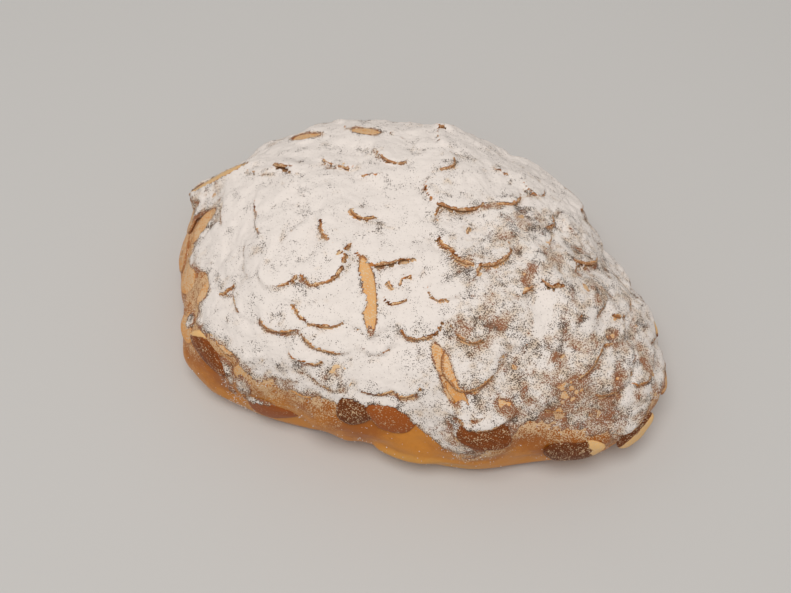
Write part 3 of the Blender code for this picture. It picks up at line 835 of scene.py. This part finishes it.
def make_flakes(laid):
    """The flakes as two pieces, pale slices and skinned end slices. Returns what make_sugar takes of them."""
    looks = {"skin": iter(SKIN_LOOKS), "sliver": iter(SLIVER_LOOKS)}
    flakes = []
    for number, (place, length, width, kind) in enumerate(laid):
        look = next(looks[kind]) if kind in looks else None
        flakes.append(dress_flake(number, place, length, width, kind, look))
    kinds = [kind for *_, kind in laid]
    slices = [flake for flake, kind in zip(flakes, kinds) if kind != "skin"]
    end_slices = [flake for flake, kind in zip(flakes, kinds) if kind == "skin"]
    make_slices("almond_flakes", slices, almond_material())
    make_slices("almond_end_slices", end_slices, skin_material())

    faces = flake_faces(len(flakes))
    bare_edges = np.repeat([BARE_EDGES[kind] for kind in kinds], len(faces) // len(flakes))
    fields = [np.concatenate([flake[field] for flake in flakes]) for field in ("points", "holds", "ledge")]
    return *fields, bare_edges, faces


def blanket_directions():
    """A grid of directions over the dome, evenly spaced on the surface, and which of them are used."""
    rows = int(2 * BLANKET_HALF_WIDTH / BLANKET_STEP) + BLANKET_MARGIN
    columns = int(2 * BLANKET_HALF_LENGTH / BLANKET_STEP) + BLANKET_MARGIN
    x, y = np.meshgrid(np.arange(columns) - columns // 2, np.arange(rows) - rows // 2)
    draw = np.random.default_rng(JITTER_SEED)
    jitter = draw.uniform(-GRID_JITTER, GRID_JITTER, (2, rows, columns))
    x = (x + jitter[0]) * BLANKET_STEP / BLANKET_HALF_LENGTH
    y = (y + jitter[1]) * BLANKET_STEP / BLANKET_HALF_WIDTH
    reach = np.hypot(x, y)
    half_length, half_width = WAIST_RADII[0], WAIST_RADII[4]  # at 0 and 80 degrees
    bearing = np.arctan2(y * half_width, x * half_length)
    cosine = np.sin(np.pi / 2 * np.clip(reach, 0, 1)) ** (CROWN_SQUARENESS / 2)
    sine = np.sqrt(1 - cosine**2)
    directions = np.stack([cosine * np.cos(bearing), cosine * np.sin(bearing), sine], axis=-1)
    return directions, reach < 1


def shifted(grid, rows, columns):
    """The grid's value at the cell that lies this many rows and columns on."""
    return np.roll(grid, (-rows, -columns), axis=(0, 1))


def smoothed(grid, rounds):
    """The grid with each cell averaged with its neighbours, so many times."""
    for _ in range(rounds):
        grid = (grid + shifted(grid, 0, 1) + shifted(grid, 0, -1)) / 3
        grid = (grid + shifted(grid, 1, 0) + shifted(grid, -1, 0)) / 3
    return grid


def unit(vectors):
    """The vectors, each scaled to length 1."""
    return vectors / np.maximum(np.linalg.norm(vectors, axis=-1, keepdims=True), 1e-9)


def grid_normals(points):
    """Outward normals of a grid of points."""
    along = shifted(points, 0, 1) - shifted(points, 0, -1)
    across = shifted(points, 1, 0) - shifted(points, -1, 0)
    return unit(np.cross(along, across))


def feel_flakes(base, normals, used, flakes):
    """At each point of the blanket: how high the flakes are, and what the top one holds and bares."""
    vertices, holds, ledges, bare_edges, faces = flakes
    tree = BVHTree.FromPolygons(vertices.tolist(), faces)
    height, ledge, bare = np.zeros((3, *used.shape))
    held = np.ones(used.shape)
    for row, column in zip(*np.nonzero(used)):
        normal = normals[row, column]
        start = base[row, column] + normal * RAY_START
        _, _, face, distance = tree.ray_cast(start.tolist(), (-normal).tolist(), RAY_START)
        if face is not None:
            height[row, column] = RAY_START - distance
            held[row, column] = holds[faces[face]].mean()
            ledge[row, column] = ledges[faces[face]].mean()
            bare[row, column] = bare_edges[face]
    return height, held, ledge, bare


NEIGHBOURS = [step for step in itertools.product((-1, 0, 1), repeat=2) if step != (0, 0)]


def rise_to(base, rows, columns):
    """How far it is from each point to this neighbour, and how far up, with FRONT_LEAN in it."""
    step = shifted(base, rows, columns) - base
    return np.linalg.norm(step, axis=-1), step[..., 2] + FRONT_LEAN * step[..., 1]


def fill_hollows(height, base, bare_edge):
    """Sugar slid against the flakes: it fills the hollow above each, and part of the step below it."""
    covered_step, bare_step = STEP_LEFT
    gathered = height - covered_step - (bare_step - covered_step) * bare_edge
    for _ in range(TALUS_ROUNDS):
        for rows, columns in NEIGHBOURS:
            run, rise = rise_to(base, rows, columns)
            slope = TALUS_SLOPE + TALUS_HILL * rise / np.maximum(run, SHORTEST_RUN)
            slope = np.clip(slope, *TALUS_LIMITS)
            height = np.maximum(height, shifted(height, rows, columns) - slope * run)
            gathered = np.maximum(gathered, shifted(gathered, rows, columns) - STEP_SLOPE * run)
    return np.maximum(height, gathered)


def lower_edges(height, base):
    """How clearly a flake ends at each point, above a drop that doesn't face uphill."""
    drop = np.zeros(height.shape)
    for rows, columns in NEIGHBOURS:
        run, rise = rise_to(base, rows, columns)
        faces_down = rise < EDGE_RISE * run
        drop = np.maximum(drop, (height - shifted(height, rows, columns)) * faces_down)
    return ramp(*EDGE_STEP, drop)


def quad_corners(grid):
    """The values at the four corners of each quad of the grid."""
    return np.stack([grid[:-1, :-1], grid[:-1, 1:], grid[1:, 1:], grid[1:, :-1]])


def rim_taper(bare_quads, shape):
    """The share of sugar left at each point, which runs out towards the bare rims."""
    at_rim = np.zeros(shape, bool)
    for rows, columns in itertools.product((0, 1), repeat=2):
        at_rim[rows : shape[0] - 1 + rows, columns : shape[1] - 1 + columns] |= bare_quads
    share = np.ones(shape)
    for level in RIM_TAPER:
        share = np.where(at_rim & (share == 1), level, share)
        at_rim = at_rim | np.any([shifted(at_rim, *step) for step in NEIGHBOURS], axis=0)
    return share


def sugar_loss(base, normals, filled, edge):
    """The share of the sugar that is missing on steep places, in hollows and on edges. In the hollows its
    dark specks also stand for painted shade.
    """
    facing_up = grid_normals(base + normals * smoothed(filled, FACING_SMOOTHING)[..., None])[..., 2]
    hollow = ramp(0, HOLLOW_DEPTH, smoothed(filled, HOLLOW_SMOOTHING) - filled)
    return LEAN_LOSS * (1 - ramp(*LEAN_RANGE, facing_up)) + HOLLOW_LOSS_AND_SHADE * hollow + EDGE_LOSS * edge


def make_sugar(flakes, material):
    """The sifted sugar: a blanket that lies on dough and flakes, open where it is missing."""
    directions, used = blanket_directions()
    shape = used.shape
    base = loaf_surface(directions.reshape(-1, 3)).reshape(*shape, 3)
    normals = unit(smoothed(grid_normals(base), NORMAL_SMOOTHING))
    height, held, ledge, bare_edge = feel_flakes(base, normals, used, flakes)
    filled = fill_hollows(height, base, bare_edge)
    flat = base.reshape(-1, 3)

    # The lower edges of some flakes are bare.
    exposure = bare_edge + lattice_noise(flat, EXPOSURE_SIZE, EXPOSURE_SEED).reshape(shape)
    exposure = np.clip(exposure, 0, 1) * (bare_edge > 0)
    corners = quad_corners(filled)
    step_limit = RIM_STEP + RIM_STEP_RANGE * (1 - exposure)
    bare_rims = corners.max(0) - corners.min(0) > step_limit[:-1, :-1]
    edge = exposure * lower_edges(filled, base)

    # How much sugar lies at each point, and how thick.
    lost = sugar_loss(base, normals, filled, edge)
    cover = sugar_cover(flat).reshape(shape)
    uneven = layered_noise(flat, AMOUNT_UNEVEN).reshape(shape) * ramp(0, UNEVEN_FROM, cover)
    amount = np.maximum((cover * (1 - np.minimum(lost, 1)) + uneven) * held, ledge)
    clumps = layered_noise(flat, SUGAR_CLUMPS).reshape(shape)
    share = THIN_SHARE + FULL_SHARE * np.clip(amount, 0, 1) + clumps
    thickness = SUGAR_THICKNESS * share * rim_taper(bare_rims, shape)
    thickness = SUGAR_HIDDEN + (thickness - SUGAR_HIDDEN) * ramp(*BARE_BELOW, amount)
    relief = np.random.default_rng(RELIEF_SEED).uniform(-1, 1, shape) * SUGAR_RELIEF
    lying = np.maximum(filled, smoothed(filled, LYING_SMOOTHING))
    surface = base + normals * (lying + thickness + relief)[..., None]

    # The quads that show, without the strays among them.
    shown = quad_corners(thickness).max(0) > SUGAR_HIDDEN * SHOWN_ABOVE
    kept = shown & ~bare_rims & quad_corners(used).all(0)
    neighbours = sum(shifted(kept.astype(int), *step) for step in NEIGHBOURS)
    kept &= neighbours >= FEWEST_NEIGHBOURS
    index = np.arange(used.size).reshape(shape)
    quads = quad_corners(index)[:, kept].T
    in_use, renumbered = np.unique(quads, return_inverse=True)
    faces = renumbered.reshape(quads.shape).tolist()
    attributes = {
        "cover": np.clip(amount, 0, 1).reshape(-1)[in_use],
        "edge": edge.reshape(-1)[in_use],
    }
    vertices = surface.reshape(-1, 3)[in_use]
    make_piece("icing_sugar", vertices, faces, material, attributes)


def make_grains(points, material):
    """Loose grains of sugar, each an octahedron, on the bare crust near the blanket's edge."""
    draw = np.random.default_rng(GRAIN_SEED)
    cover = sugar_cover(points)
    strays = STRAY_SHARE * ramp(*STRAY_HEIGHTS, points[:, 2])
    chance = ramp(*GRAINS_START, cover) * (1 - ramp(*GRAINS_END, cover)) + strays
    chance = chance * (points[:, 2] > GRAINS_ABOVE)
    chosen = draw.choice(len(points), GRAIN_COUNT, p=chance / chance.sum())
    centres = points[chosen] + draw.uniform(-GRAIN_SPREAD, GRAIN_SPREAD, (GRAIN_COUNT, 3))
    octahedron = np.concatenate([np.eye(3), -np.eye(3)])
    turns = np.linalg.qr(draw.normal(size=(GRAIN_COUNT, 3, 3)))[0]
    sizes = draw.uniform(*GRAIN_SIZES, (GRAIN_COUNT, 1, 1))
    vertices = (octahedron @ turns) * sizes + centres[:, None]
    sides = ((0, 1, 2), (1, 3, 2), (3, 4, 2), (4, 0, 2), (1, 0, 5), (3, 1, 5), (4, 3, 5), (0, 4, 5))
    count = len(octahedron)
    faces = [[count * k + v for v in side] for k in range(GRAIN_COUNT) for side in sides]
    attributes = {"cover": np.ones(count * GRAIN_COUNT), "edge": np.zeros(count * GRAIN_COUNT)}
    make_piece("sugar_grains", vertices.reshape(-1, 3), faces, material, attributes)


# ---- Studio and camera, in metres ----

CAMERA_AZIMUTH = math.radians(20)
CAMERA_ELEVATION = math.radians(60)
CAMERA_DISTANCE = 0.305
CAMERA_TARGET = Vector((-0.0048, -0.0068, 0.018))
CAMERA_LENS = 50
CLIP_START = 0.01
FLOOR_SIZE = 3.0
# Lights: (name, azimuth and elevation in degrees, distance, size, power in watts, colour).
LIGHTS = (
    ("key", 0, 76, 0.9, 0.5, 4.2, (1.0, 0.97, 0.93)),
    ("fill", -110, 50, 1.1, 0.9, 0.35, (0.97, 0.98, 1.0)),
)
LIGHT_TARGET = (0, 0, 0.02)
WORLD_COLOUR = (1.0, 0.98, 0.95, 1.0)
WORLD_STRENGTH = 0.38


def direction_from(azimuth, elevation):
    """Unit vector towards a viewer at these angles. Azimuth 0 is in front, at -Y."""
    flat = math.cos(elevation)
    return Vector((math.sin(azimuth) * flat, -math.cos(azimuth) * flat, math.sin(elevation)))


def look_at(thing, place, target):
    """Puts a camera or a light at this place and points it at the target."""
    thing.location = place
    thing.rotation_euler = (Vector(place) - Vector(target)).to_track_quat("Z", "Y").to_euler()


def make_camera():
    camera = bpy.data.objects.new("camera", bpy.data.cameras.new("camera"))
    camera.data.lens = CAMERA_LENS
    camera.data.clip_start = CLIP_START
    bpy.context.scene.collection.objects.link(camera)
    away = direction_from(CAMERA_AZIMUTH, CAMERA_ELEVATION)
    look_at(camera, CAMERA_TARGET + away * CAMERA_DISTANCE, CAMERA_TARGET)
    bpy.context.scene.camera = camera


def area_light(name, azimuth, elevation, distance, size, power, colour):
    light = bpy.data.objects.new(name, bpy.data.lights.new(name, "AREA"))
    light.data.shape = "DISK"
    light.data.size = size
    light.data.energy = power
    light.data.color = colour
    bpy.context.scene.collection.objects.link(light)
    away = direction_from(math.radians(azimuth), math.radians(elevation))
    look_at(light, away * distance, LIGHT_TARGET)


def make_studio():
    bpy.ops.mesh.primitive_plane_add(size=FLOOR_SIZE)
    floor = bpy.context.object
    floor.name = "floor"
    floor.data.materials.append(floor_material())
    for light in LIGHTS:
        area_light(*light)
    world = bpy.data.worlds.new("studio")
    world.use_nodes = True
    background = world.node_tree.nodes["Background"]
    background.inputs["Color"].default_value = WORLD_COLOUR
    background.inputs["Strength"].default_value = WORLD_STRENGTH
    bpy.context.scene.world = world
    bpy.context.scene.view_settings.view_transform = "Standard"


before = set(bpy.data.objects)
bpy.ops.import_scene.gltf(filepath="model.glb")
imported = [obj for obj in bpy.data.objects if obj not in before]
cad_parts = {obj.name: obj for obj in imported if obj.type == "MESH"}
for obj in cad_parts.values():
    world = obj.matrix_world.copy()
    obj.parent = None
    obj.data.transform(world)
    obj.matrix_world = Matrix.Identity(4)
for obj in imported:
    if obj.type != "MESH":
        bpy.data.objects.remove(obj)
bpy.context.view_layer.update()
make_camera()
make_studio()
crust_points = make_dough()
almonds = make_flakes(place_flakes())
sugar = sugar_material()
make_sugar(almonds, sugar)
make_grains(crust_points, sugar)
